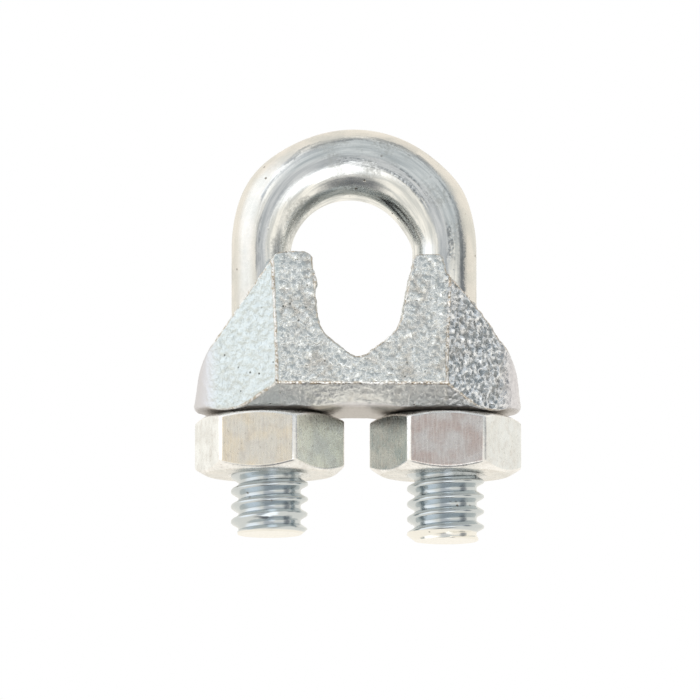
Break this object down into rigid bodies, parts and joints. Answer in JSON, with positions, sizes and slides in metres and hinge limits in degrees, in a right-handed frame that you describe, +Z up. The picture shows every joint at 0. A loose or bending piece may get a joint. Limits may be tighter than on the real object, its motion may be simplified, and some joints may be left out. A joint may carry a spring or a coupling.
{
  "type": "wire rope clip",
  "caption": "U-bolt wire rope clip: threaded bow, cast saddle with a rope groove and hex nuts that draw the saddle up to clamp a doubled rope.",
  "frame": {"origin": "floor of the rope groove in the saddle, midway between the legs and midway along the rope", "axes": "+X from the left leg to the right leg, +Y along the rope, +Z up from the rope seat through the bow"},
  "size_m": [0.0275, 0.013, 0.0347],
  "materials": {
    "bright_zinc": "drawn and bent steel rod, bright zinc plated, smooth and glossy",
    "cast_zinc": "sand-cast malleable iron, zinc plated over the rough grain",
    "nut_zinc": "cold-formed steel nut, zinc plated with a faint warm passivate tint"
  },
  "bodies": {
    "u_bolt": {"u_bolt": "bright_zinc"},
    "saddle": {"saddle": "cast_zinc"},
    "nut_left": {"nut_left": "nut_zinc"},
    "nut_right": {"nut_right": "nut_zinc"}
  },
  "joints": [
    {"name": "saddle_slide", "type": "slide", "parent": "u_bolt", "child": "saddle", "axis": [0, 0, 1], "range_m": [-0.0048, 0.0045]},
    {"name": "nut_left_spin", "type": "hinge", "parent": "saddle", "child": "nut_left", "pos_m": [-0.00735, 0, -0.007], "axis": [0, 0, 1], "range_deg": [-1361, 1276]},
    {"name": "nut_right_spin", "type": "hinge", "parent": "saddle", "child": "nut_right", "pos_m": [0.00735, 0, -0.007], "axis": [0, 0, 1], "range_deg": [-1361, 1276]}
  ],
  "couplings": [
    {"joint": "nut_left_spin", "follows": "saddle_slide", "rad_per_m": 4947.4},
    {"joint": "nut_right_spin", "follows": "saddle_slide", "rad_per_m": 4947.4}
  ]
}
